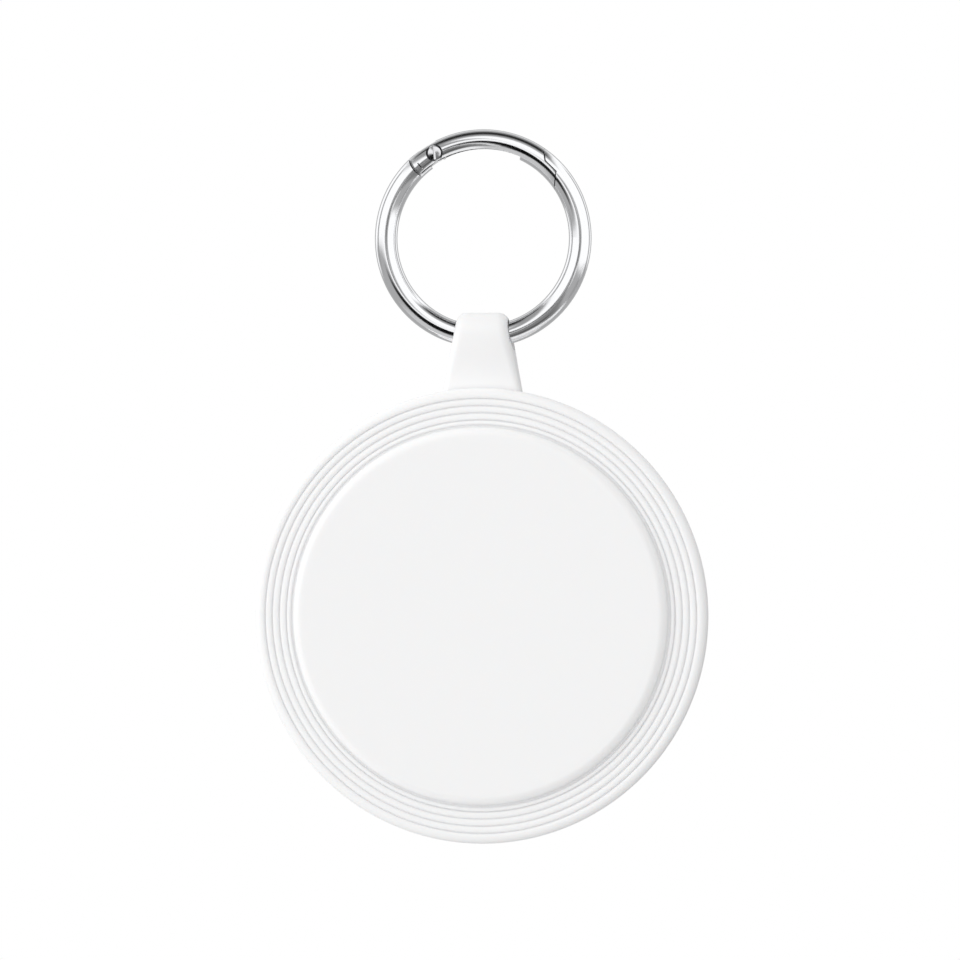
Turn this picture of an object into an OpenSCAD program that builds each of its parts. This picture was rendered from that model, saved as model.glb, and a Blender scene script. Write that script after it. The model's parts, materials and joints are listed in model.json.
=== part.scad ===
// Round tracker tag in a ribbed silicone holder, hung on a spring-gate ring.
// Millimetres. +Z is up and the front faces -Y. The origin is the centre of the ring.

/* [Ring] */
// Clear inside diameter of the ring
ring_inner_d = 19.05; // [15.85:0.05:26]
// Thickness of the ring's round bar
ring_bar_d = 2.5; // [2.2:0.05:3.2]
// Place of the gate's pivot, counted anticlockwise from +X
pivot_angle = 119.2; // [112:0.1:124]
// Place where the gate's channel stops
channel_end_angle = 64.5; // [60:0.5:75]
// Width of the slot and channel inside the gate
slot_w = 1.12; // [1:0.02:1.3]
// Shank diameter of the pivot screw
screw_shank_d = 0.9; // [0.7:0.05:1]
// Head diameter of the pivot screw
screw_head_d = 1.43; // [1.2:0.01:1.6]
// Wire thickness of the gate's spring
spring_wire_d = 0.16; // [0.12:0.01:0.2]
// Number of turns in the gate's spring
spring_turns = 17; // [10:1:18]

/* [Silicone holder] */
// Width of the ribbed flange outside the dome
flange_w = 4.3; // [3.6:0.1:6]
// Number of grooves in the flange
groove_count = 4; // [2:1:5]
// Wall around the tracker, to the foot of the dome
dome_wall = 1.58; // [1.2:0.02:2.4]
// Thickness of the dome over the tracker
dome_face = 1.35; // [1:0.05:2]
// Height and width of the dome's rounded shoulder
shoulder_r = 1.0; // [0.6:0.05:1.2]
// Depth of the grooves
groove_depth = 0.25; // [0.15:0.05:0.5]
// Thickness of the flange over its ribs
flange_t = 2.8; // [2.4:0.1:4]
// Rounding of the flange's rear edge
rear_edge_r = 1.3; // [0.8:0.1:1.5]
// How far the lip reaches over the tracker's back
lip_reach = 1.9; // [1:0.1:3]
// Thickness of the lip
lip_t = 1.5; // [1:0.1:2]
// Width of the strap at its top
strap_top_w = 5.35; // [5:0.05:7]
// Width of the strap where it meets the flange
strap_base_w = 8.5; // [7:0.1:12]
// Thickness of the strap between the flange and the eye
strap_t = 3; // [2.4:0.1:4]
// How far the middle of the disc's thickness lies behind the ring
disc_back = 1.3; // [0:0.1:2]
// Distance from the flange's edge to the axis of the strap's eye
strap_reach = 5.97; // [5.5:0.01:9]
// Silicone around the eye
eye_wall = 0.75; // [0.6:0.05:1.5]

/* [Tracker] */
// Diameter of the tracker's case
tracker_d = 38; // [36:0.5:46]
// Thickness of the case's front
front_t = 0.8; // [0.6:0.05:1.5]
// Thickness of the case's skirts
skirt_t = 0.9; // [0.7:0.05:1.2]
// Thickness of the case's back
back_t = 0.7; // [0.6:0.05:1.2]
// Diameter of the battery cover
cover_d = 24; // [23.4:0.1:26]
// Thickness of the battery cover
cover_t = 0.5; // [0.4:0.05:0.7]
// Thickness of the circuit board
board_t = 0.6; // [0.4:0.1:1]
// Tallest part on the circuit board
parts_h = 0.7; // [0.6:0.05:1.2]
// Diameter of the buzzer's brass disc
buzzer_d = 20; // [16:0.5:24]

/* [Battery] */
// Diameter of the coin cell
cell_d = 20; // [16.6:0.1:20.5]
// Thickness of the coin cell
cell_t = 3.2; // [2:0.1:5]

/* [Fits] */
// Gap between the tracker and its pocket
pocket_gap = 0.12; // [0.05:0.01:0.3]
// Gap between the gate and the ring's ends
gate_gap = 0.15; // [0.08:0.01:0.18]
// Gap in the lapped middle of the latch, which keeps light out
lap_gap = 0.06; // [0.03:0.01:0.08]
// Gap around the gate's heel
heel_gap = 0.3; // [0.1:0.05:0.35]
// Radial clearance of the pivot screw in the ring's tongue
pivot_play = 0.03; // [0.01:0.01:0.08]
// Clearance between the ring's bar and the strap's eye
eye_play = 0.06; // [0.05:0.01:0.3]
// Gap between a part of the tracker and its neighbour
part_gap = 0.05; // [0.03:0.01:0.1]

/* [Hidden] */
$fn = 96;
// Overlap that fuses two touching solids, and how far a cutter runs past what it cuts.
eps = 0.01;
past = 1;

// Ring: bar radius, radius of the bar's centre line, width of its cutters, pivot point.
bar_r = ring_bar_d / 2;
ring_r = ring_inner_d / 2 + bar_r;
cutter_w = 2 * bar_r + 2 * past;
pivot = polar(ring_r, pivot_angle);

// Latch step: where the gate's inner nose lies under the ring's outer nose.
step_r = ring_r + 0.3;
latch_a = polar(ring_r + 1.17, 54.9);
latch_b = polar(step_r, 50.2);
latch_c = polar(step_r, 41.4);
latch_d = polar(ring_r - 0.98, 34.7);
latch_reach = 1.8;
// Way that the gate's side of the latch stands off from the ring's side.
latch_off = [-0.87, -0.49];
lap_t = 1.4;
gate_inside_r = ring_r - 4;
gate_outside_r = ring_r + 6;
latch_side_angle = 40;
gate_top_angle = 88;

// Gate: its round heel about the pivot, its thinned inner edge, its channel.
heel_r = 2.7;
heel_reach = heel_r + past;
thin_r = ring_r - 0.89;
thin_from_r = ring_r - 3;
thin_sweep = 80;
channel_roof_r = ring_r + 0.91;
tongue_t = slot_w - 0.12;
tongue_r = 0.95;
tongue_neck_w = 1.7;
tongue_root = 1.25;
tongue_lean = 97;
lobe_r = 0.35;
lobe_reach = 0.85;
lobe_angle = -25;
slot_r = lobe_reach + lobe_r + 0.12;
screw_recess_d = screw_head_d + 0.43;
recess_floor = bar_r - 0.45;
screw_head_t = 0.38;
screw_foot = 0.05 - bar_r;
driver_slot_w = 0.24;
driver_slot_depth = 0.2;
driver_slot_turn = 4;
driver_slot_z = recess_floor + screw_head_t - driver_slot_depth;
head_dome_h = 0.12;
head_dome_r = (pow(screw_head_d / 2, 2) + pow(head_dome_h, 2)) / (2 * head_dome_h);

// Fine L-shaped line cut into both faces of the gate's heel.
mark_w = 0.12;
mark_depth = 0.2;
mark_r = ring_r + 0.08;
mark_drop = 0.75;
mark_from = pivot_angle + 5.2;
mark_to = pivot_angle + 11.4;

// Spring: a small coil that follows the gate's channel inside the pivot's radius.
spring_r = ring_r - 0.39;
coil_r = 0.36;
spring_from = pivot_angle - 7;
spring_to = channel_end_angle + 1.2;
wire_sides = 6;
turn_steps = 14;

// Eye of the strap: its axis lies a little above the lowest point of the bar.
eye_flare = 0.9;
eye_half = (strap_top_w + eye_flare) / 2;
eye_rise = ring_r - sqrt(ring_r * ring_r - eye_half * eye_half);
eye_r = bar_r * 1.05 + eye_rise / 2 + eye_play;
eye_z = -ring_r + eye_rise / 2;
loop_r = eye_r + eye_wall;

// Holder: radii about the disc's axis.
pocket_r = tracker_d / 2 + pocket_gap;
dome_r = pocket_r + dome_wall;
flange_r = dome_r + flange_w;
disc_z = eye_z - strap_reach - flange_r;
body_edge_r = 0.5;
body_foot_r = 0.9;
strap_corner_r = 0.85;
strap_waist = 0.6;
swell_angle = 35;

// Stack of the tracker, from its back to its front, in the disc's own frame.
cell_lift = cover_t + 0.15;
pocket_play = 0.25;
contact_h = 0.3;
buzzer_t = 0.15;
glue_t = 0.1;
tracker_t = cell_lift + cell_t + contact_h + board_t + parts_h + part_gap
          + 2 * buzzer_t + glue_t + front_t;
holder_t = tracker_t + dome_face + part_gap + lip_t + part_gap + pocket_play;
dome_z = holder_t / 2 + 0.12;
back_z = dome_z - holder_t;
pocket_z = dome_z - dome_face;
tracker_front = pocket_z - part_gap;
tracker_back = tracker_front - tracker_t;
lip_z = tracker_back - part_gap - lip_t;
crease_z = dome_z - shoulder_r - 0.15;
rib_z = crease_z + groove_depth;
front_edge_r = 0.8;
groove_w = 0.16;
rib_slope = 0.16;
outer_rib_w = 1.15;
rib_pitch = (flange_w - outer_rib_w) / groove_count;

cell_back = tracker_back + cell_lift;
cell_front = cell_back + cell_t;
board_back = cell_front + contact_h;
board_front = board_back + board_t;
front_inner = tracker_front - front_t;
buzzer_front = front_inner - glue_t;
ceramic_front = buzzer_front - buzzer_t;
ceramic_back = ceramic_front - buzzer_t;

// Case: radii of its skirts, its seam, the battery's well.
case_r = tracker_d / 2;
skirt_inner = case_r - skirt_t;
seam_z = (tracker_front + tracker_back) / 2 - 0.1;
spigot_t = 0.8;
spigot_r = skirt_inner - 0.08;
spigot_top = board_front + 0.1;
seal_wire_r = 0.29;
case_seal_z = spigot_top + seal_wire_r;
case_edge_r = 0.9;
board_r = spigot_r - spigot_t - 0.3;
well_r = cell_d / 2 + 0.2;
well_wall = 0.6;
ledge_wall = 0.6;
case_land_w = 1.1;
well_top = cell_back + cell_t * 0.75;
cover_r = cover_d / 2;
seat_r = cover_r + 0.04;
ledge_back = tracker_back + cover_t;
ledge_front = ledge_back + 0.95;
groove_in = (well_r + cover_r) / 2 - 0.35;
groove_out = groove_in + 0.7;
cover_seal_r = (groove_in + groove_out) / 2;
cover_wire_r = 0.3;
cover_seal_z = ledge_back + 0.02 + cover_wire_r;
cover_groove_t = 0.66;
pry_notch_r = 1.6;
pry_notch_t = 0.35;
grip_count = 3;
grip_l = 10;
grip_w = 0.8;
grip_pitch = 2.2;
grip_t = 0.15;
post_count = 4;
post_w = 3;
post_l = 2.6;
post_lap = 1.6;
leaf_t = 0.12;
leaf_w = 2.6;
notch_w = 3.4;

// ---- Shared helpers ----

function polar(r, a) = [r * cos(a), r * sin(a)];

function arc(c, r, a0, a1, n) = [
    for (i = [0 : n]) c + polar(r, a0 + (a1 - a0) * i / n)
];

// Puts a drawing whose +Z faces the front upright, at the ring's centre.
module upright() {
    rotate([90, 0, 0]) children();
}

// Puts a drawing whose +Z faces the front upright, at the disc's centre.
module in_disc() {
    translate([0, disc_back, disc_z]) rotate([90, 0, 0]) children();
}

module slab(z0, z1) {
    translate([0, 0, z0]) linear_extrude(z1 - z0) children();
}

module tube(r_in, r_out, z0, z1) {
    slab(z0, z1) difference() {
        circle(r_out);
        circle(r_in);
    }
}

module o_ring(r, wire_r, z) {
    translate([0, 0, z]) rotate_extrude() translate([r, 0]) circle(wire_r, $fn = 32);
}

module chip(x, y, w, d, h) {
    translate([x - w / 2, y - d / 2, board_front]) cube([w, d, h]);
}

// ---- Ring ----

module bar_ring() {
    rotate_extrude() translate([ring_r, 0]) circle(bar_r, $fn = 64);
}

// Plane area of the gate between its pivot and the latch, moved off the ring by gap.
module gate_area(gap) {
    polygon([
        latch_b + (latch_a - latch_b) * latch_reach + latch_off * gap,
        latch_b + latch_off * gap,
        latch_c + latch_off * gap,
        latch_c + (latch_d - latch_c) * latch_reach + latch_off * gap,
        polar(gate_inside_r, latch_side_angle),
        polar(gate_inside_r, pivot_angle),
        polar(gate_outside_r, pivot_angle),
        polar(gate_outside_r, gate_top_angle)
    ]);
}

// Plane outline of the tongue on the ring's end that the gate turns on.
module tongue_area() {
    translate(pivot) {
        circle(tongue_r);
        translate(polar(lobe_reach, lobe_angle)) circle(lobe_r);
        rotate(pivot_angle + tongue_lean) {
            translate([0, -tongue_neck_w / 2]) square([heel_reach, tongue_neck_w]);
            translate([tongue_root, -bar_r]) square([heel_reach - tongue_root, 2 * bar_r]);
        }
    }
}

module ring_body() {
    color("silver") upright() difference() {
        union() {
            difference() {
                bar_ring();
                slab(-bar_r - past, bar_r + past) {
                    gate_area(0);
                    translate(pivot) circle(heel_r + heel_gap);
                }
            }
            intersection() {
                slab(-tongue_t / 2, tongue_t / 2) tongue_area();
                bar_ring();
            }
        }
        translate([pivot[0], pivot[1], -bar_r])
            cylinder(h = 2 * bar_r, r = screw_shank_d / 2 + pivot_play);
    }
}

// Slot for the tongue, and the open-sided channel that holds the spring.
module gate_hollow() {
    slab(-slot_w / 2, slot_w / 2) translate(pivot) {
        circle(slot_r);
        rotate(pivot_angle + 90) translate([0, -cutter_w]) square([heel_reach, 2 * cutter_w]);
    }
    rotate_extrude(angle = pivot_angle - channel_end_angle, start = channel_end_angle)
        translate([thin_from_r, -slot_w / 2])
            square([channel_roof_r - thin_from_r, slot_w]);
}

// Lines that mark the heel on both faces, beyond the screw.
module heel_marks() {
    floor_z = bar_r - mark_depth;
    for (side = [0, 1]) mirror([0, 0, side]) {
        rotate_extrude(angle = mark_to - mark_from, start = mark_from)
            translate([mark_r - mark_w / 2, floor_z]) square([mark_w, past]);
        rotate([0, 0, mark_to]) translate([mark_r - mark_drop, -mark_w / 2, floor_z])
            cube([mark_drop + mark_w / 2, mark_w, past]);
    }
}

module ring_gate() {
    color("silver") upright() difference() {
        intersection() {
            bar_ring();
            union() {
                slab(-bar_r - past, bar_r + past) {
                    gate_area(gate_gap);
                    translate(pivot) circle(heel_r);
                }
                slab(-lap_t / 2, lap_t / 2) gate_area(lap_gap);
            }
        }
        gate_hollow();
        heel_marks();
        rotate_extrude(angle = thin_sweep, start = channel_end_angle)
            translate([thin_from_r, -cutter_w / 2]) square([thin_r - thin_from_r, cutter_w]);
        translate([pivot[0], pivot[1], recess_floor]) cylinder(h = bar_r, d = screw_recess_d);
        translate([pivot[0], pivot[1], -bar_r]) cylinder(h = 2 * bar_r, d = screw_shank_d);
    }
}

module gate_screw() {
    color("dimgray") upright() translate([pivot[0], pivot[1], 0]) difference() {
        union() {
            intersection() {
                translate([0, 0, recess_floor]) cylinder(h = screw_head_t, d = screw_head_d);
                translate([0, 0, recess_floor + screw_head_t - head_dome_r]) sphere(head_dome_r);
            }
            translate([0, 0, screw_foot])
                cylinder(h = recess_floor + eps - screw_foot, d = screw_shank_d);
        }
        rotate(driver_slot_turn) translate([-driver_slot_w / 2, -screw_head_d, driver_slot_z])
            cube([driver_slot_w, 2 * screw_head_d, past]);
    }
}

// Point on the wire's skin: step i along the coil, side j around the wire.
function coil_point(i, j) =
    let (
        turn = 360 * i / turn_steps,
        place = spring_from + (spring_to - spring_from) * i / (turn_steps * spring_turns),
        side = 360 * j / wire_sides,
        reach = coil_r + spring_wire_d / 2 * cos(side),
        along = spring_wire_d / 2 * sin(side),
        r = spring_r + reach * cos(turn)
    )
    [
        r * cos(place) + along * sin(place),
        r * sin(place) - along * cos(place),
        reach * sin(turn)
    ];

module gate_spring() {
    n = turn_steps * spring_turns;
    m = wire_sides;
    points = [for (i = [0 : n], j = [0 : m - 1]) coil_point(i, j)];
    sides = [
        for (i = [0 : n - 1], j = [0 : m - 1], half = [0, 1])
            let (a = i * m + j, b = i * m + (j + 1) % m)
                half == 0 ? [a, b, a + m] : [b, b + m, a + m]
    ];
    ends = [
        [for (j = [m - 1 : -1 : 0]) j],
        [for (j = [0 : m - 1]) n * m + j]
    ];
    color("gray") upright() polyhedron(points, concat(sides, ends));
}

// ---- Silicone holder ----

// Half section of the domed, ribbed disc: x is the radius and y points to the front.
// Behind the flange the wall around the tracker stands out as a plain round body.
module sleeve_section() {
    shoulder = arc([dome_r - shoulder_r, dome_z - shoulder_r], shoulder_r, 90, 0, 10);
    ribs = [
        for (i = [0 : groove_count - 1])
            let (a = dome_r + i * rib_pitch + groove_w / 2,
                 b = dome_r + (i + 1) * rib_pitch - groove_w / 2)
                each [[a, crease_z], [a + rib_slope, rib_z], [b - rib_slope, rib_z], [b, crease_z]]
    ];
    last = dome_r + groove_count * rib_pitch + groove_w / 2;
    edge = arc([flange_r - front_edge_r, rib_z - front_edge_r], front_edge_r, 90, 0, 8);
    flange_back = rib_z - flange_t;
    rear = arc([flange_r - rear_edge_r, flange_back + rear_edge_r], rear_edge_r, 0, -90, 10);
    foot = arc([dome_r + body_foot_r, flange_back - body_foot_r], body_foot_r, 90, 180, 8);
    body = arc([dome_r - body_edge_r, back_z + body_edge_r], body_edge_r, 0, -90, 6);
    polygon(concat(
        [[0, pocket_z], [0, dome_z]],
        shoulder,
        [[dome_r, crease_z]],
        ribs,
        [[last, crease_z], [last + rib_slope, rib_z]],
        edge,
        rear,
        foot,
        body,
        [[pocket_r, back_z], [pocket_r, pocket_z]]
    ));
}

// Height of the eye's axis and of the strap's root above the disc's centre.
eye_y = eye_z - disc_z;
strap_root = dome_r - body_edge_r;

// Front outline of the strap, from the body up to its rounded top corners.
module strap_outline() {
    top = eye_y + loop_r;
    slope = (strap_base_w - strap_top_w) / 2 / (top - flange_r);
    root_w = strap_base_w / 2 + slope * (flange_r - strap_root);
    corner_x = strap_top_w / 2 - strap_corner_r;
    right = arc([corner_x, top - strap_corner_r], strap_corner_r, 0, 90, 8);
    left = arc([-corner_x, top - strap_corner_r], strap_corner_r, 90, 180, 8);
    polygon(concat([[root_w, strap_root]], right, left, [[-root_w, strap_root]]));
}

// Side outline of the strap: a thin slab that swells into a round eye.
module strap_side() {
    waist = flange_r + strap_waist;
    swell = eye_y - loop_r * sin(swell_angle);
    swell_t = loop_r * cos(swell_angle);
    translate([eye_y, 0]) circle(loop_r);
    polygon([
        [strap_root, -strap_t / 2], [waist, -strap_t / 2], [swell, -swell_t], [eye_y, -swell_t],
        [eye_y, swell_t], [swell, swell_t], [waist, strap_t / 2], [strap_root, strap_t / 2]
    ]);
}

// The strap lies in the ring's plane, so it sits forward of the disc's own middle.
module strap() {
    span = strap_base_w * 2;
    translate([0, 0, disc_back]) intersection() {
        slab(-loop_r - past, loop_r + past) strap_outline();
        rotate([0, 0, 90]) rotate([90, 0, 0]) translate([0, 0, -span / 2])
            linear_extrude(span) strap_side();
    }
}

module silicone_sleeve() {
    color("white") difference() {
        in_disc() union() {
            rotate_extrude() sleeve_section();
            strap();
        }
        translate([-strap_base_w, 0, eye_z]) rotate([0, 90, 0])
            cylinder(h = 2 * strap_base_w, r = eye_r);
    }
}

module sleeve_lip() {
    color("whitesmoke") in_disc()
        tube(pocket_r - lip_reach, pocket_r, lip_z, lip_z + lip_t);
}

// ---- Tracker case ----

module front_section() {
    edge = arc([case_r - case_edge_r, tracker_front - case_edge_r], case_edge_r, 90, 0, 8);
    land_z = case_seal_z + seal_wire_r;
    polygon(concat(
        [[0, front_inner], [0, tracker_front]],
        edge,
        [
            [case_r, seam_z], [skirt_inner, seam_z], [skirt_inner, land_z],
            [skirt_inner - case_land_w, land_z], [skirt_inner - case_land_w, front_inner]
        ]
    ));
}

module front_cover() {
    color("ivory") in_disc() rotate_extrude() front_section();
}

module rear_section() {
    edge = arc([case_r - case_edge_r, tracker_back + case_edge_r], case_edge_r, -90, 0, 8);
    plate_front = tracker_back + back_t;
    polygon(concat(
        [[seat_r, ledge_back], [seat_r, tracker_back]],
        edge,
        [
            [case_r, seam_z - part_gap], [spigot_r, seam_z - part_gap],
            [spigot_r, spigot_top], [spigot_r - spigot_t, spigot_top],
            [spigot_r - spigot_t, plate_front], [seat_r + ledge_wall, plate_front],
            [seat_r + ledge_wall, ledge_front], [well_r + well_wall, ledge_front],
            [well_r + well_wall, well_top], [well_r, well_top], [well_r, ledge_back]
        ]
    ));
}

// Posts around the case that the circuit board rests on.
module board_posts() {
    post_back = tracker_back + back_t - eps;
    for (i = [0 : post_count - 1]) intersection() {
        rotate((i + 0.5) * 360 / post_count) translate([board_r - post_lap, -post_w / 2, post_back])
            cube([post_l, post_w, board_back - post_back]);
        tube(0, spigot_r - spigot_t + eps, post_back, board_back);
    }
}

module rear_case() {
    color("ivory") in_disc() difference() {
        union() {
            rotate_extrude() rear_section();
            board_posts();
        }
        tube(groove_in, groove_out, ledge_back - past, ledge_back + cover_groove_t);
        for (side = [0, 180]) rotate(side)
            translate([well_r - past, -notch_w / 2, ledge_front])
                cube([well_wall + 2 * past, notch_w, cell_t]);
        translate([0, -seat_r - ledge_wall, tracker_back - past])
            cylinder(h = past + pry_notch_t, r = pry_notch_r);
    }
}

module case_seal() {
    color("black") in_disc() o_ring(spigot_r - spigot_t / 2, seal_wire_r, case_seal_z);
}

module battery_cover() {
    color("ivory") in_disc() difference() {
        slab(tracker_back, ledge_back) circle(cover_r);
        for (i = [0 : grip_count - 1])
            let (y = (i - (grip_count - 1) / 2) * grip_pitch - grip_w / 2)
                translate([-grip_l / 2, y, tracker_back - past]) cube([grip_l, grip_w, past + grip_t]);
    }
}

module cover_seal() {
    color("black") in_disc() o_ring(cover_seal_r, cover_wire_r, cover_seal_z);
}

// ---- Coin cell ----

can_t = 0.25;
cap_r = cell_d / 2 - 1.15;
cap_skirt_r = cell_d / 2 - 0.7;
can_rim = cell_front - 0.35;
gasket_front = can_rim + 0.05;
cap_shelf = can_rim - 0.15;
electrode_gap = 0.3;

module battery_can() {
    color("silver") in_disc() rotate_extrude() polygon([
        [0, cell_back], [cell_d / 2, cell_back], [cell_d / 2, can_rim],
        [cell_d / 2 - can_t, can_rim], [cell_d / 2 - can_t, cell_back + can_t],
        [0, cell_back + can_t]
    ]);
}

module battery_gasket() {
    r = cell_d / 2 - can_t;
    color("dimgray") in_disc() rotate_extrude() polygon([
        [cap_skirt_r, cell_back + can_t], [r, cell_back + can_t], [r, gasket_front],
        [cap_r, gasket_front], [cap_r, cap_shelf], [cap_skirt_r, cap_shelf]
    ]);
}

module battery_cap() {
    color("lightgray") in_disc() rotate_extrude() polygon([
        [0, cell_front], [cap_r, cell_front], [cap_r, cap_shelf], [cap_skirt_r, cap_shelf],
        [cap_skirt_r, cap_shelf - can_t], [cap_r - can_t, cap_shelf - can_t],
        [cap_r - can_t, cell_front - can_t], [0, cell_front - can_t]
    ]);
}

module battery_electrodes() {
    color("darkslategray") in_disc()
        slab(cell_back + can_t, cell_front - can_t - electrode_gap) circle(cap_r - can_t);
}

// ---- Contacts ----

// Bent strip in side view: flat feet under the board and a bow down to the cell.
module negative_contact() {
    foot = 5.2;
    bow = 3.2;
    tip = 1;
    bend = 0.3;
    top = board_back;
    low = cell_front + eps;
    color("gold") in_disc() rotate([90, 0, 0]) translate([0, 0, -leaf_w / 2])
        linear_extrude(leaf_w) polygon([
            [-foot, top], [-foot, top - leaf_t], [-bow, top - leaf_t], [-tip, low],
            [tip, low], [bow, top - leaf_t], [foot, top - leaf_t], [foot, top],
            [bow - bend, top], [tip - 0.2, low + leaf_t], [0.2 - tip, low + leaf_t],
            [bend - bow, top]
        ]);
}

// Leaf on each side of the cell: a foot under the board and a blade along the can.
module positive_contacts() {
    r = cell_d / 2 + 0.02;
    low = can_rim - 1.9;
    lean = 0.3;
    foot = 2;
    color("gold") in_disc() for (side = [0, 180]) rotate(side)
        rotate([90, 0, 0]) translate([0, 0, -leaf_w / 2]) linear_extrude(leaf_w) polygon([
            [r, low], [r + leaf_t, low], [r + lean + leaf_t, board_back - leaf_t],
            [r + foot, board_back - leaf_t], [r + foot, board_back], [r + lean, board_back]
        ]);
}

// ---- Circuit board ----

module main_board() {
    color("darkgreen") in_disc() slab(board_back, board_front) circle(board_r);
}

// Folded antenna track along the upper edge of the board.
module antenna_trace() {
    w = 0.5;
    span = 2.4;
    pitch = 1.8;
    feed = 2;
    copper_t = 0.06;
    base = board_r - 4.6;
    folds = 4;
    color("goldenrod") in_disc() slab(board_front, board_front + copper_t) union() {
        for (i = [0 : folds - 1]) translate([(i - folds / 2) * pitch, base])
            square([w, span]);
        for (i = [0 : folds - 2]) translate([(i - folds / 2) * pitch, base + (i % 2) * (span - w)])
            square([pitch + w, w]);
        translate([-folds / 2 * pitch, base - feed]) square([w, feed + eps]);
    }
}

module radio_chip() {
    color("#202020") in_disc() chip(x = -6.5, y = 4, w = 5, d = 5, h = parts_h - part_gap);
}

module radio_crystal() {
    color("silver") in_disc() chip(x = -6.5, y = -0.6, w = 2, d = 1.6, h = 0.5);
}

module clock_crystal() {
    color("silver") in_disc() chip(x = -10.8, y = 1.2, w = 1.5, d = 3.2, h = 0.6);
}

module motion_sensor() {
    color("#303030") in_disc() chip(x = 6.2, y = 4.4, w = 2, d = 2, h = parts_h - part_gap);
}

module board_passives() {
    count = 12;
    first_angle = 190;
    step_angle = 14;
    color("peru") in_disc() for (i = [0 : count - 1])
        rotate(first_angle + i * step_angle) chip(x = 0, y = board_r - 2.4, w = 1, d = 0.5, h = 0.5);
}

// ---- Buzzer ----

brass_r = buzzer_d / 2;
ceramic_r = brass_r - 3;
glue_w = 1.4;
brass_pin_y = -brass_r + 1.2;
ceramic_pin_y = -brass_r + 4.6;
pin_d = 0.8;

module buzzer_adhesive() {
    color("gainsboro") in_disc() tube(brass_r - glue_w, brass_r, buzzer_front, front_inner);
}

module buzzer_disc() {
    color("goldenrod") in_disc() slab(ceramic_front, buzzer_front) circle(brass_r);
}

module buzzer_ceramic() {
    color("white") in_disc() slab(ceramic_back, ceramic_front) circle(ceramic_r);
}

module buzzer_contacts() {
    color("gold") in_disc() {
        translate([0, brass_pin_y, board_front])
            cylinder(h = ceramic_front - board_front, d = pin_d);
        translate([0, ceramic_pin_y, board_front])
            cylinder(h = ceramic_back - board_front, d = pin_d);
    }
}

ring_body();
ring_gate();
gate_screw();
gate_spring();
silicone_sleeve();
sleeve_lip();
front_cover();
rear_case();
case_seal();
battery_cover();
cover_seal();
battery_can();
battery_cap();
battery_gasket();
battery_electrodes();
negative_contact();
positive_contacts();
main_board();
antenna_trace();
radio_chip();
radio_crystal();
clock_crystal();
motion_sensor();
board_passives();
buzzer_disc();
buzzer_ceramic();
buzzer_adhesive();
buzzer_contacts();
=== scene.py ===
"""Looks of the round tracker tag: silicone holder, tracker and spring-gate ring, in a studio."""

import json
import math

import bmesh
import bpy
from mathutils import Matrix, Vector

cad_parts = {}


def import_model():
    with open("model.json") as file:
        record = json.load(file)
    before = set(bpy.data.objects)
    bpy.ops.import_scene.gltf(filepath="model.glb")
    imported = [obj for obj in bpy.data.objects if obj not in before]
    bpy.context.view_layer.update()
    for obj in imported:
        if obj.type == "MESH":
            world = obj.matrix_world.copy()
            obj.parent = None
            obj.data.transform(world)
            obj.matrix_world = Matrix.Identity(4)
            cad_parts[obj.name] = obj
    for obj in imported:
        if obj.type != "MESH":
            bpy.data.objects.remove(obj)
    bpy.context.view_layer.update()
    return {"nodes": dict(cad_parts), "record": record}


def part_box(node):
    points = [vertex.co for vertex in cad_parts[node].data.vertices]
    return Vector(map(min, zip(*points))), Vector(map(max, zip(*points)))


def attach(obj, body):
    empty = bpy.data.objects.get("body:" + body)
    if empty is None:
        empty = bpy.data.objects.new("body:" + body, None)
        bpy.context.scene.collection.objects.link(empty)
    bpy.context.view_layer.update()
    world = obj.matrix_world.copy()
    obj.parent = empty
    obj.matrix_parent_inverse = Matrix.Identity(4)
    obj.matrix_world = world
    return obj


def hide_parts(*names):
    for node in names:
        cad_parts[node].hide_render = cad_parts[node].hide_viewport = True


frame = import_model()

MM = 0.001

# ---- Places and sizes taken from the frame, in metres ----

sleeve_low, sleeve_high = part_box("silicone_sleeve")
lip_low, lip_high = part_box("sleeve_lip")

swing = next(j for j in frame["record"]["behaviour"]["joints"] if j["name"] == "sleeve_swing")
eye_z = swing["pos_m"][2]

flange_r = (sleeve_high.x - sleeve_low.x) / 2
disc_z = sleeve_low.z + flange_r
dome_y = sleeve_low.y
back_y = sleeve_high.y
strap_top = sleeve_high.z - disc_z
eye_height = eye_z - disc_z
loop_r = strap_top - eye_height
pocket_r = (lip_high.x - lip_low.x) / 2

# ---- Sizes of the moulding that the boxes don't give ----

flange_w = 4.3 * MM
flange_t = 2.8 * MM
front_edge_r = 0.8 * MM
rear_edge_r = 1.3 * MM
body_edge_r = 0.5 * MM
body_foot_r = 0.9 * MM
dome_face = 1.35 * MM
shoulder_r = 1.0 * MM
crease_drop = 0.15 * MM
groove_depth = 0.25 * MM
rib_count = 5
outer_rib_w = 1.15 * MM
eye_wall = 0.75 * MM
strap_top_w = 5.35 * MM
strap_base_w = 8.5 * MM
strap_half_t = 1.5 * MM
strap_corner_r = 0.85 * MM
strap_waist = 0.6 * MM
lip_reach = 1.9 * MM

dome_r = flange_r - flange_w
crease_y = dome_y + shoulder_r + crease_drop
rib_y = crease_y - groove_depth
flange_back = rib_y + flange_t
eye_r = loop_r - eye_wall
strap_root = dome_r - body_edge_r
strap_slope = (strap_base_w - strap_top_w) / 2 / (strap_top - flange_r)

# ---- Camera and studio, in metres and degrees ----

# How far the camera stands round to the object's right.
VIEW_TURN = math.radians(7.25)
LENS = 200
SENSOR = 36
# Width of the picture where the flange's grooves are, and how far it is aimed above the disc.
VIEW_WIDTH = 0.1052632
AIM_RISE = 0.0149123
FLOOR_Z = -0.7
FLOOR_R = 3.0
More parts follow.
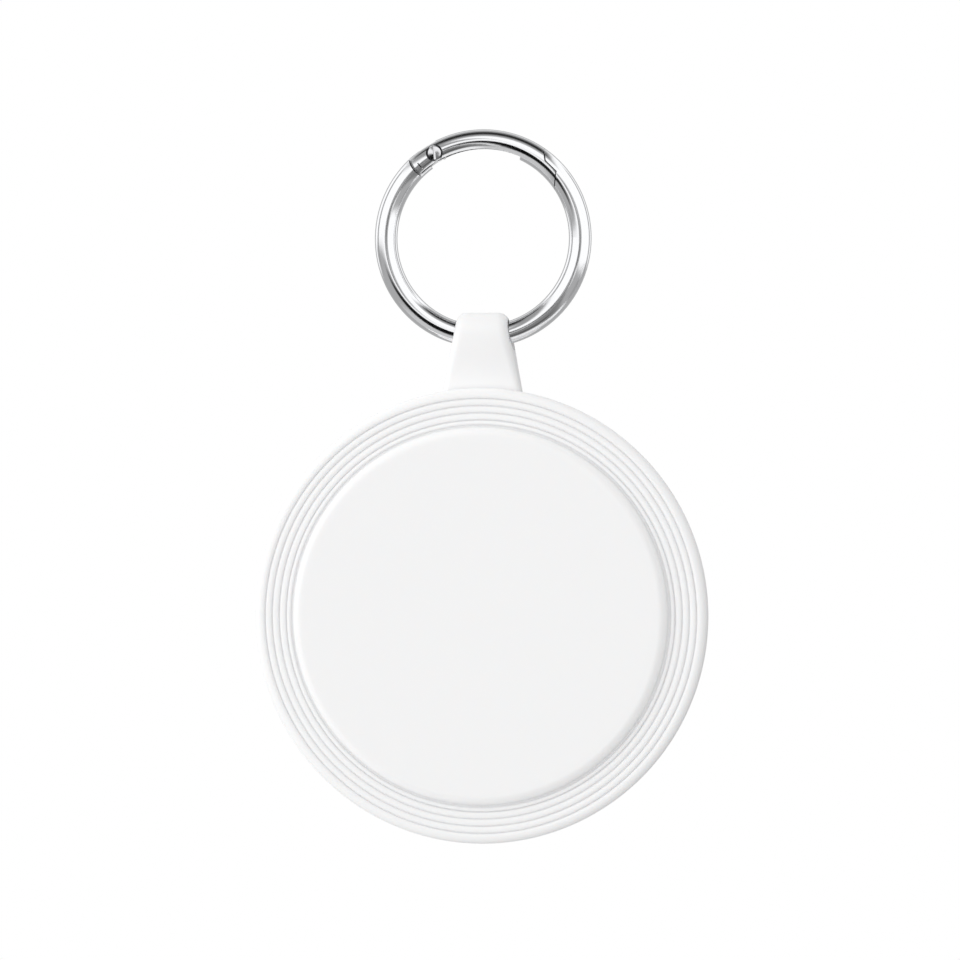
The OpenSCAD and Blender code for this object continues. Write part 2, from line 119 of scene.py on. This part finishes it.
# The surround as a light: its mean strength, and how it grows towards the upper left.
SKY_STRENGTH = 0.885
SKY_SLOPE = Vector((-0.83, -0.46, 0.30)) * 0.42
MIRROR_STRENGTH = 1.1
BACKDROP_STRENGTH = 1.0
# Studio cards: distance of the first, step between them, size of a mesh cell, width of soft edge.
CARD_DISTANCE = 0.69
CARD_GAP = 0.004
CARD_STEP = 3
CARD_EDGE = 9


# ---- Mesh helpers ----

def add_object(name, mesh):
    obj = bpy.data.objects.new(name, mesh)
    bpy.context.scene.collection.objects.link(obj)
    return obj


def finish_mesh(name, bm):
    """Turns the drawn faces into an object of that name."""
    mesh = bpy.data.meshes.new(name)
    bm.to_mesh(mesh)
    bm.free()
    return add_object(name, mesh)


def loft(name, outlines):
    """Closed skin through outlines of equally many points, capped at both ends."""
    bm = bmesh.new()
    rings = [[bm.verts.new(point) for point in outline] for outline in outlines]
    for a, b in zip(rings, rings[1:]):
        for i in range(len(a)):
            j = (i + 1) % len(a)
            bm.faces.new([a[i], a[j], b[j], b[i]])
    bm.faces.new(rings[0][::-1])
    bm.faces.new(rings[-1])
    bmesh.ops.recalc_face_normals(bm, faces=bm.faces)
    return finish_mesh(name, bm)


def arc(centre, radius, start, end, steps):
    """Points on an arc in degrees, as (radius from the disc's axis, depth)."""
    turns = [math.radians(start + (end - start) * i / steps) for i in range(steps + 1)]
    return [(centre[0] + radius * math.cos(t), centre[1] + radius * math.sin(t)) for t in turns]


def lathe(name, section, steps, centre_z):
    """Turns a closed section of (radius, y) points about the disc's axis, which runs along Y."""
    bm = bmesh.new()
    rings = []
    for radius, y in section:
        if radius == 0:
            rings.append([bm.verts.new((0, y, centre_z))] * steps)
            continue
        rings.append([
            bm.verts.new((
                radius * math.sin(2 * math.pi * i / steps), y,
                centre_z + radius * math.cos(2 * math.pi * i / steps),
            ))
            for i in range(steps)
        ])
    for a, b in zip(rings, rings[1:] + rings[:1]):
        for i in range(steps):
            corners = [a[i], a[(i + 1) % steps], b[(i + 1) % steps], b[i]]
            unique = list(dict.fromkeys(corners))
            if len(unique) > 2:
                bm.faces.new(unique)
    bmesh.ops.recalc_face_normals(bm, faces=bm.faces)
    return finish_mesh(name, bm)


def smooth(obj, degrees=40):
    """Shades smooth, with edges sharper than the angle left crisp."""
    bpy.context.view_layer.objects.active = obj
    for other in bpy.context.selected_objects:
        other.select_set(False)
    obj.select_set(True)
    bpy.ops.object.shade_smooth_by_angle(angle=math.radians(degrees))
    obj.select_set(False)


def combine(target, cutter, operation):
    """Joins or cuts target with cutter for good, and removes cutter."""
    modifier = target.modifiers.new(operation, "BOOLEAN")
    modifier.operation = operation
    modifier.solver = "EXACT"
    modifier.object = cutter
    graph = bpy.context.evaluated_depsgraph_get()
    result = bpy.data.meshes.new_from_object(target.evaluated_get(graph))
    target.modifiers.clear()
    target.data = result
    bpy.data.objects.remove(cutter)


# ---- Silicone holder ----

def rib_section(start):
    """Front face of the flange: round-topped ribs with narrow grooves between them."""
    pitch = (flange_w - outer_rib_w) / (rib_count - 1)
    steps = 14
    flatness = 2.8
    inset = 0.03
    points = []
    for rib in range(rib_count - 1):
        left = max(dome_r + rib * pitch, start)
        right = dome_r + (rib + 1) * pitch
        for i in range(steps + 1):
            across = -1 + 2 * i / steps
            crown = 1 - abs(across) ** flatness
            share = (i + inset) / (steps + 2 * inset)
            points.append((left + (right - left) * share, crease_y + (rib_y - crease_y) * crown))
    return points


def sleeve_section():
    """Closed half section of the disc, from the pocket's centre round to the pocket again."""
    pocket_y = dome_y + dome_face
    mouth_r = 0.3 * MM
    crease_r = 0.22 * MM
    dome = arc((dome_r - shoulder_r, dome_y + shoulder_r), shoulder_r, -90, -6, 14)
    crease = arc((dome_r + crease_r, crease_y - crease_r), crease_r, 180, 90, 6)
    last = flange_r - outer_rib_w
    outer_rib = [
        (last + across * MM, crease_y - rise * groove_depth)
        for across, rise in ((0.01, 0), (0.05, 0.4), (0.12, 0.68), (0.21, 0.9), (0.32, 1))
    ]
    edge = arc((flange_r - front_edge_r, rib_y + front_edge_r), front_edge_r, -90, 0, 14)
    rear = arc((flange_r - rear_edge_r, flange_back - rear_edge_r), rear_edge_r, 0, 90, 14)
    foot = arc((dome_r + body_foot_r, flange_back + body_foot_r), body_foot_r, -90, -180, 10)
    body = arc((dome_r - body_edge_r, back_y - body_edge_r), body_edge_r, 0, 90, 10)
    mouth = arc((pocket_r + mouth_r, back_y - mouth_r), mouth_r, 90, 180, 6)
    return (
        [(0, pocket_y), (0, dome_y)]
        + [(dome_r * share, dome_y) for share in (0.3, 0.6, 0.85, 0.93)]
        + dome
        + crease
        + rib_section(dome_r + crease_r * 1.1)
        + outer_rib
        + edge
        + rear
        + foot
        + body
        + mouth
        + [(pocket_r, pocket_y)]
    )


def strap_profile(height):
    """Half width, half thickness and corner radius of the strap above the disc's centre."""
    half_w = strap_top_w / 2 + strap_slope * (strap_top - height)
    corner_from = strap_top - strap_corner_r
    if height > corner_from:
        over = min(1, (height - corner_from) / strap_corner_r)
        half_w -= strap_corner_r * (1 - math.sqrt(1 - over * over))
    waist = flange_r + strap_waist
    swell = min(1, max(0, (height - waist) / (eye_height - waist)))
    swell = (1 - math.cos(math.pi * swell)) / 2
    half_t = strap_half_t + (loop_r - strap_half_t) * swell
    if height > eye_height:
        half_t = math.sqrt(max(0, loop_r ** 2 - (height - eye_height) ** 2))
    return half_w, max(half_t, 0.02 * MM), (0.75 + 0.4 * swell) * MM


def rounded_loop(half_w, half_t, radius, steps=8):
    """Corners of a rounded rectangle, anticlockwise, as (x, y) pairs."""
    radius = min(radius, half_t * 0.98, half_w * 0.98)
    loop = []
    for sx, sy, start in ((1, -1, -90), (1, 1, 0), (-1, 1, 90), (-1, -1, 180)):
        centre = (sx * (half_w - radius), sy * (half_t - radius))
        loop += arc(centre, radius, start, start + 90, steps)
    return loop


def strap_mesh():
    """Loft of rounded rectangles from the body up to the round end of the eye."""
    straight = [strap_root + (eye_height - strap_root) * i / 26 for i in range(27)]
    cap = [eye_height + loop_r * math.sin(math.radians(90 * i / 28)) for i in range(1, 29)]
    return loft("strap", [
        [(x, y, disc_z + height) for x, y in rounded_loop(*strap_profile(height))]
        for height in straight + cap
    ])


def eye_cutter():
    """Hourglass plug for the strap's eye, so that its two mouths are rounded."""
    flare = 0.16 * MM
    half = strap_base_w
    mouth = strap_top_w / 2 + strap_slope * loop_r
    sides = 64
    steps = 5
    stations = [-half] + [-mouth + flare * i / steps for i in range(steps + 1)]
    stations += [-x for x in reversed(stations)]
    outlines = []
    for x in stations:
        over = max(0, abs(x) - (mouth - flare)) / flare
        grow = flare * (1 - math.sqrt(max(0, 1 - min(1, over) ** 2)))
        radius = eye_r + grow
        turns = [2 * math.pi * i / sides for i in range(sides)]
        outlines.append([
            (x, radius * math.cos(turn), eye_z + radius * math.sin(turn)) for turn in turns
        ])
    return loft("eye_plug", outlines)


def build_sleeve(look):
    """The holder in one piece: disc, strap and eye."""
    sleeve = lathe("holder_silicone", sleeve_section(), 360, disc_z)
    strap = strap_mesh()
    combine(strap, eye_cutter(), "DIFFERENCE")
    combine(sleeve, strap, "UNION")
    smooth(sleeve, 38)
    sleeve.data.materials.clear()
    sleeve.data.materials.append(look)
    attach(sleeve, "sleeve")
    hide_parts("silicone_sleeve")
    return sleeve


def build_lip(look):
    """The holder's rear lip, with a soft bead along its inner edge."""
    inner = pocket_r - lip_reach
    half = (lip_high.y - lip_low.y) / 2
    middle = (lip_high.y + lip_low.y) / 2
    bead = arc((inner + half, middle), half, 270, 90, 16)
    section = [(pocket_r, lip_low.y)] + bead + [(pocket_r, lip_high.y)]
    lip = lathe("holder_lip", section, 240, disc_z)
    smooth(lip, 50)
    lip.data.materials.append(look)
    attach(lip, "sleeve")
    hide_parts("sleeve_lip")
    return lip


# ---- Materials ----

def shader(name, colour, roughness, metallic=0.0):
    """A new material with its node tree and its shader."""
    made = bpy.data.materials.new(name + "_look")
    made.use_nodes = True
    tree = made.node_tree
    bsdf = tree.nodes["Principled BSDF"]
    bsdf.inputs["Base Color"].default_value = (*colour, 1)
    bsdf.inputs["Roughness"].default_value = roughness
    bsdf.inputs["Metallic"].default_value = metallic
    return made, tree, bsdf


def grain(tree, size, stretch=(1, 1, 1), detail=3.0):
    """Noise over the object's own coordinates, with features of about size metres."""
    place = tree.nodes.new("ShaderNodeTexCoord")
    mapping = tree.nodes.new("ShaderNodeMapping")
    mapping.inputs["Scale"].default_value = [s / size for s in stretch]
    noise = tree.nodes.new("ShaderNodeTexNoise")
    noise.inputs["Scale"].default_value = 1.0
    noise.inputs["Detail"].default_value = detail
    tree.links.new(place.outputs["Object"], mapping.inputs["Vector"])
    tree.links.new(mapping.outputs["Vector"], noise.inputs["Vector"])
    return noise.outputs["Fac"]


def vary_roughness(tree, bsdf, fac, low, high):
    spread = tree.nodes.new("ShaderNodeMapRange")
    spread.inputs["To Min"].default_value = low
    spread.inputs["To Max"].default_value = high
    tree.links.new(fac, spread.inputs["Value"])
    tree.links.new(spread.outputs["Result"], bsdf.inputs["Roughness"])


def vary_colour(tree, bsdf, fac, dark, light, start=0.3, end=0.7):
    ramp = tree.nodes.new("ShaderNodeValToRGB")
    ramp.color_ramp.elements[0].position = start
    ramp.color_ramp.elements[0].color = (*dark, 1)
    ramp.color_ramp.elements[1].position = end
    ramp.color_ramp.elements[1].color = (*light, 1)
    tree.links.new(fac, ramp.inputs["Fac"])
    tree.links.new(ramp.outputs["Color"], bsdf.inputs["Base Color"])


def bump(tree, bsdf, fac, height, strength=1.0):
    node = tree.nodes.new("ShaderNodeBump")
    node.inputs["Strength"].default_value = strength
    node.inputs["Distance"].default_value = height
    tree.links.new(fac, node.inputs["Height"])
    tree.links.new(node.outputs["Normal"], bsdf.inputs["Normal"])


def silicone():
    """Matt white silicone with painted shade that darkens it in its grooves, finely textured and
    with a little light inside.
    """
    made, tree, bsdf = shader("white_silicone", (0.93, 0.93, 0.93), 0.55)
    # Painted shade: ambient occlusion darkens the silicone's colour from light to dark grey in its
    # grooves and creases.
    painted_groove_shade = tree.nodes.new("ShaderNodeAmbientOcclusion")
    painted_groove_shade.samples = 8
    painted_groove_shade.inputs["Distance"].default_value = 0.6 * MM
    dark, light = (0.84, 0.84, 0.845), (0.932, 0.932, 0.934)
    vary_colour(tree, bsdf, painted_groove_shade.outputs["AO"], dark, light, 0.5, 0.95)
    vary_roughness(tree, bsdf, grain(tree, 1.4 * MM), 0.5, 0.64)
    bump(tree, bsdf, grain(tree, 0.22 * MM, detail=5.0), 0.006 * MM, 0.35)
    bsdf.inputs["Subsurface Weight"].default_value = 0.18
    bsdf.inputs["Subsurface Radius"].default_value = (1.0, 0.85, 0.75)
    bsdf.inputs["Subsurface Scale"].default_value = 0.5 * MM
    bsdf.inputs["Specular IOR Level"].default_value = 0.4
    return made


def chrome():
    """Polished plating: almost a mirror, with painted shade that darkens it nearly to black down in
    its seams and gaps.
    """
    made, tree, bsdf = shader("ring_chrome", (0.9, 0.905, 0.92), 0.06, 1.0)
    vary_roughness(tree, bsdf, grain(tree, 0.9 * MM, detail=4.0), 0.08, 0.12)
    bump(tree, bsdf, grain(tree, 1.6 * MM, detail=1.0), 0.004 * MM, 0.25)
    # Painted shade: ambient occlusion darkens the chrome's colour nearly to black in its seams, gaps
    # and recesses.
    painted_seam_shade = tree.nodes.new("ShaderNodeAmbientOcclusion")
    painted_seam_shade.samples = 8
    painted_seam_shade.inputs["Distance"].default_value = 0.35 * MM
    vary_colour(tree, bsdf, painted_seam_shade.outputs["AO"], (0.01, 0.01, 0.012), (0.9, 0.905, 0.92), 0.5, 0.9)
    return made


def metal(name, colour, low, high, size=0.3 * MM, stretch=(1, 1, 1)):
    """Plain metal with a fine grain; stretch draws the grain out into brush lines."""
    made, tree, bsdf = shader(name, colour, low, 1.0)
    fine = grain(tree, size, stretch, 5.0)
    vary_roughness(tree, bsdf, fine, low, high)
    vary_colour(tree, bsdf, fine, [c * 0.9 for c in colour], colour)
    bump(tree, bsdf, fine, 0.004 * MM, 0.3)
    return made


def plastic(name, colour, low, high, size=0.3 * MM):
    """Moulded plastic with a fine skin texture and slight shade differences."""
    made, tree, bsdf = shader(name, colour, low)
    fine = grain(tree, size, detail=4.0)
    vary_roughness(tree, bsdf, fine, low, high)
    vary_colour(tree, bsdf, grain(tree, size * 20), [c * 0.94 for c in colour], colour)
    bump(tree, bsdf, fine, 0.004 * MM, 0.3)
    return made


def board_mask():
    """Green solder mask over copper tracks, which show as slightly lighter lanes."""
    lanes_per_metre = 420
    made, tree, bsdf = shader("board_green", (0.02, 0.16, 0.07), 0.3)
    place = tree.nodes.new("ShaderNodeTexCoord")
    mapping = tree.nodes.new("ShaderNodeMapping")
    mapping.inputs["Scale"].default_value = [lanes_per_metre] * 3
    mapping.inputs["Rotation"].default_value = (math.radians(90), 0, 0)
    lanes = tree.nodes.new("ShaderNodeTexBrick")
    lanes.inputs["Color1"].default_value = (0.03, 0.21, 0.09, 1)
    lanes.inputs["Color2"].default_value = (0.025, 0.18, 0.08, 1)
    lanes.inputs["Mortar"].default_value = (0.012, 0.11, 0.05, 1)
    lanes.inputs["Scale"].default_value = 1.0
    tree.links.new(place.outputs["Object"], mapping.inputs["Vector"])
    tree.links.new(mapping.outputs["Vector"], lanes.inputs["Vector"])
    tree.links.new(lanes.outputs["Color"], bsdf.inputs["Base Color"])
    vary_roughness(tree, bsdf, grain(tree, 0.5 * MM), 0.25, 0.4)
    return made


def make_looks():
    """One procedural material for each material slot of the record."""
    return {
        "ring_chrome": chrome(),
        "screw_steel": metal("screw_steel", (0.8, 0.8, 0.82), 0.1, 0.18),
        "spring_steel": metal("spring_steel", (0.5, 0.5, 0.52), 0.22, 0.38),
        "white_silicone": silicone(),
        "case_plastic": plastic("case_plastic", (0.84, 0.84, 0.83), 0.2, 0.32),
        "black_seal": plastic("black_seal", (0.02, 0.02, 0.02), 0.5, 0.65),
        "cell_steel": metal("cell_steel", (0.68, 0.68, 0.69), 0.2, 0.36, 0.15 * MM, (1, 1, 12)),
        "cell_gasket": plastic("cell_gasket", (0.1, 0.1, 0.11), 0.45, 0.6),
        "cell_filling": plastic("cell_filling", (0.05, 0.05, 0.055), 0.7, 0.85),
        "contact_gold": metal("contact_gold", (0.86, 0.62, 0.24), 0.18, 0.3),
        "board_green": board_mask(),
        "chip_black": plastic("chip_black", (0.03, 0.03, 0.032), 0.42, 0.58, 0.1 * MM),
        "crystal_metal": metal("crystal_metal", (0.7, 0.7, 0.71), 0.2, 0.34, 0.12 * MM, (1, 10, 1)),
        "passives": plastic("passives", (0.4, 0.28, 0.18), 0.35, 0.5, 0.12 * MM),
        "buzzer_brass": metal("buzzer_brass", (0.8, 0.58, 0.24), 0.22, 0.36, 0.2 * MM, (8, 1, 1)),
        "buzzer_ceramic": plastic("buzzer_ceramic", (0.82, 0.8, 0.75), 0.4, 0.55),
        "buzzer_glue": plastic("buzzer_glue", (0.75, 0.75, 0.72), 0.4, 0.55),
    }


def dress_cad_nodes(looks):
    """Gives every CAD node that stays in view its procedural material."""
    slots = {s["node"]: s["material_slot"] for s in frame["record"]["subparts"]}
    for name, obj in frame["nodes"].items():
        obj.data.materials.clear()
        obj.data.materials.append(looks[slots[name]])


# ---- Studio ----

def floor():
    """A plain pale floor, well below the hanging tag."""
    bm = bmesh.new()
    bmesh.ops.create_circle(bm, cap_ends=True, segments=96, radius=FLOOR_R)
    obj = finish_mesh("floor", bm)
    obj.location = (0, 0, FLOOR_Z)
    obj.visible_diffuse = False
    made, tree, bsdf = shader("floor_paper", (0.93, 0.93, 0.93), 0.8)
    vary_colour(tree, bsdf, grain(tree, 0.4), (0.92, 0.92, 0.92), (0.94, 0.94, 0.94))
    obj.data.materials.append(made)


def camera_side():
    """Level direction from the object to the camera."""
    return Vector((math.sin(VIEW_TURN), -math.cos(VIEW_TURN), 0))


def toward(around, away, distance):
    """A place in the studio: how far away it lies from the camera's direction, in degrees, and
    which way round, counted anticlockwise from the camera's right."""
    around = math.radians(around)
    away = math.radians(away)
    right = Vector((math.cos(VIEW_TURN), math.sin(VIEW_TURN), 0))
    side = right * math.cos(around) + Vector((0, 0, 1)) * math.sin(around)
    return (camera_side() * math.cos(away) + side * math.sin(away)) * distance


def ease(t):
    """Smooth rise from 0 to 1."""
    t = min(max(t, 0), 1)
    return t * t * (3 - 2 * t)


def card(name, around, away, brightness, distance):
    """A curved, soft-edged studio card that only reflections see, to draw a band in the chrome."""
    width = around[1] - around[0]
    height = away[1] - away[0]
    columns = math.ceil(width / CARD_STEP)
    rows = math.ceil(height / CARD_STEP)
    edge = min(CARD_EDGE, height / 2)
    bm = bmesh.new()
    fade = bm.verts.layers.float.new("fade")
    grid = []
    for i in range(columns + 1):
        turn = around[0] + width * i / columns
        column = []
        for j in range(rows + 1):
            tilt = away[0] + height * j / rows
            vert = bm.verts.new(toward(turn, tilt, distance))
            across = min(tilt - away[0] if away[0] > 0 else edge, away[1] - tilt)
            along = min(turn - around[0], around[1] - turn) if width < 360 else edge
            vert[fade] = ease(across / edge) * ease(along / edge)
            column.append(vert)
        grid.append(column)
    for i in range(columns):
        for j in range(rows):
            bm.faces.new([grid[i][j], grid[i + 1][j], grid[i + 1][j + 1], grid[i][j + 1]])
    obj = finish_mesh(name, bm)
    made = bpy.data.materials.new(name + "_look")
    made.use_nodes = True
    tree = made.node_tree
    tree.nodes.clear()
    glow = tree.nodes.new("ShaderNodeEmission")
    glow.inputs["Color"].default_value = (1, 1, 1, 1)
    glow.inputs["Strength"].default_value = brightness
    clear = tree.nodes.new("ShaderNodeBsdfTransparent")
    amount = tree.nodes.new("ShaderNodeAttribute")
    amount.attribute_name = "fade"
    mix = tree.nodes.new("ShaderNodeMixShader")
    tree.links.new(amount.outputs["Fac"], mix.inputs["Fac"])
    tree.links.new(clear.outputs["BSDF"], mix.inputs[1])
    tree.links.new(glow.outputs["Emission"], mix.inputs[2])
    out = tree.nodes.new("ShaderNodeOutputMaterial")
    tree.links.new(mix.outputs["Shader"], out.inputs["Surface"])
    obj.data.materials.append(made)
    obj.visible_camera = False
    obj.visible_diffuse = False
    obj.visible_shadow = False
    obj.visible_transmission = False


def light(name, place, target, size, power):
    """A round soft light that the camera doesn't see."""
    data = bpy.data.lights.new(name, "AREA")
    data.shape = "DISK"
    data.size = size
    data.energy = power
    obj = bpy.data.objects.new(name, data)
    bpy.context.scene.collection.objects.link(obj)
    obj.location = place
    obj.rotation_mode = "QUATERNION"
    obj.rotation_quaternion = (Vector(target) - Vector(place)).to_track_quat("-Z", "Y")
    obj.visible_camera = False
    return obj


def world():
    """A white surround: pure white to the eye, and as a light brightest from the upper left."""
    made = bpy.data.worlds.new("studio")
    bpy.context.scene.world = made
    made.use_nodes = True
    tree = made.node_tree
    tree.nodes.clear()
    path = tree.nodes.new("ShaderNodeLightPath")
    place = tree.nodes.new("ShaderNodeTexCoord")
    slope = tree.nodes.new("ShaderNodeVectorMath")
    slope.operation = "DOT_PRODUCT"
    slope.inputs[1].default_value = SKY_SLOPE
    lift = tree.nodes.new("ShaderNodeMath")
    lift.operation = "ADD"
    lift.inputs[1].default_value = SKY_STRENGTH
    tree.links.new(place.outputs["Generated"], slope.inputs[0])
    tree.links.new(slope.outputs["Value"], lift.inputs[0])
    sky, mirrored, backdrop = (tree.nodes.new("ShaderNodeBackground") for _ in range(3))
    for node in (sky, mirrored, backdrop):
        node.inputs["Color"].default_value = (1, 1, 1, 1)
    tree.links.new(lift.outputs["Value"], sky.inputs["Strength"])
    mirrored.inputs["Strength"].default_value = MIRROR_STRENGTH
    backdrop.inputs["Strength"].default_value = BACKDROP_STRENGTH
    shine = tree.nodes.new("ShaderNodeMixShader")
    tree.links.new(path.outputs["Is Glossy Ray"], shine.inputs["Fac"])
    tree.links.new(sky.outputs["Background"], shine.inputs[1])
    tree.links.new(mirrored.outputs["Background"], shine.inputs[2])
    mix = tree.nodes.new("ShaderNodeMixShader")
    tree.links.new(path.outputs["Is Camera Ray"], mix.inputs["Fac"])
    tree.links.new(shine.outputs["Shader"], mix.inputs[1])
    tree.links.new(backdrop.outputs["Background"], mix.inputs[2])
    out = tree.nodes.new("ShaderNodeOutputWorld")
    tree.links.new(mix.outputs["Shader"], out.inputs["Surface"])


def reflections():
    """Dark and grey cards around the object, nearest last: name, way round from the camera's right,
    angle away from the camera, brightness."""
    cards = [
        ("behind", (0, 360), (126, 176), 0.5),
        ("low_back", (190, 352), (88, 142), 0.42),
        ("low_far", (205, 266), (46, 100), 0.6),
        ("left_grey", (176, 218), (18, 118), 0.42),
        ("right_grey", (300, 344), (12, 76), 0.42),
        ("right_line", (314, 344), (62, 99), 0.35),
        ("right_strip", (-24, 49), (94, 118), 0.35),
        ("left_strip", (136, 196), (78, 102), 0.35),
        ("top_soft", (52, 140), (42, 128), 0.42),
        ("top_mid", (54, 140), (54, 108), 0.2),
        ("top_core", (56, 138), (62, 98), 0.02),
        ("upper_left", (120, 146), (16, 86), 0.33),
        ("low_right", (244, 316), (8, 64), 0.22),
        ("low_right_edge", (258, 306), (32, 56), 0.1),
        ("low_right_tip", (292, 316), (46, 70), 0.22),
        ("low_left_soft", (184, 246), (10, 56), 0.25),
        ("low_left", (187, 240), (8, 52), 0.0),
        ("lens_right", (-34, 78), (3, 16), 0.22),
        ("lens_over", (68, 132), (4, 16), 0.35),
        ("lens_left", (108, 202), (3, 15), 0.15),
        ("lens_low", (196, 324), (3, 16), 0.08),
        ("lens", (0, 360), (0, 7), 0.12),
    ]
    for i, (name, around, away, brightness) in enumerate(cards):
        card("card_" + name, around, away, brightness, CARD_DISTANCE - CARD_GAP * i)


def studio():
    """Surround, floor, reflection cards and a weak key light from the upper left."""
    world()
    floor()
    reflections()
    middle = (0, 0, disc_z * 0.6)
    key = light("key", (-0.75, -0.5, 0.2), middle, size=0.4, power=0.6)
    key.visible_glossy = False


def camera():
    """Long lens, a few degrees round to the object's right, level with its middle."""
    data = bpy.data.cameras.new("camera")
    data.lens = LENS
    data.sensor_width = SENSOR
    data.clip_start = 0.01
    data.clip_end = 20
    obj = bpy.data.objects.new("camera", data)
    bpy.context.scene.collection.objects.link(obj)
    aim = Vector((0, crease_y, disc_z + AIM_RISE))
    obj.location = aim + camera_side() * VIEW_WIDTH * LENS / SENSOR
    obj.rotation_mode = "QUATERNION"
    obj.rotation_quaternion = (-camera_side()).to_track_quat("-Z", "Y")
    bpy.context.scene.camera = obj


# ---- Build ----

bpy.context.scene.view_settings.view_transform = "Standard"

looks = make_looks()
dress_cad_nodes(looks)
build_sleeve(looks["white_silicone"])
build_lip(looks["white_silicone"])
studio()
camera()
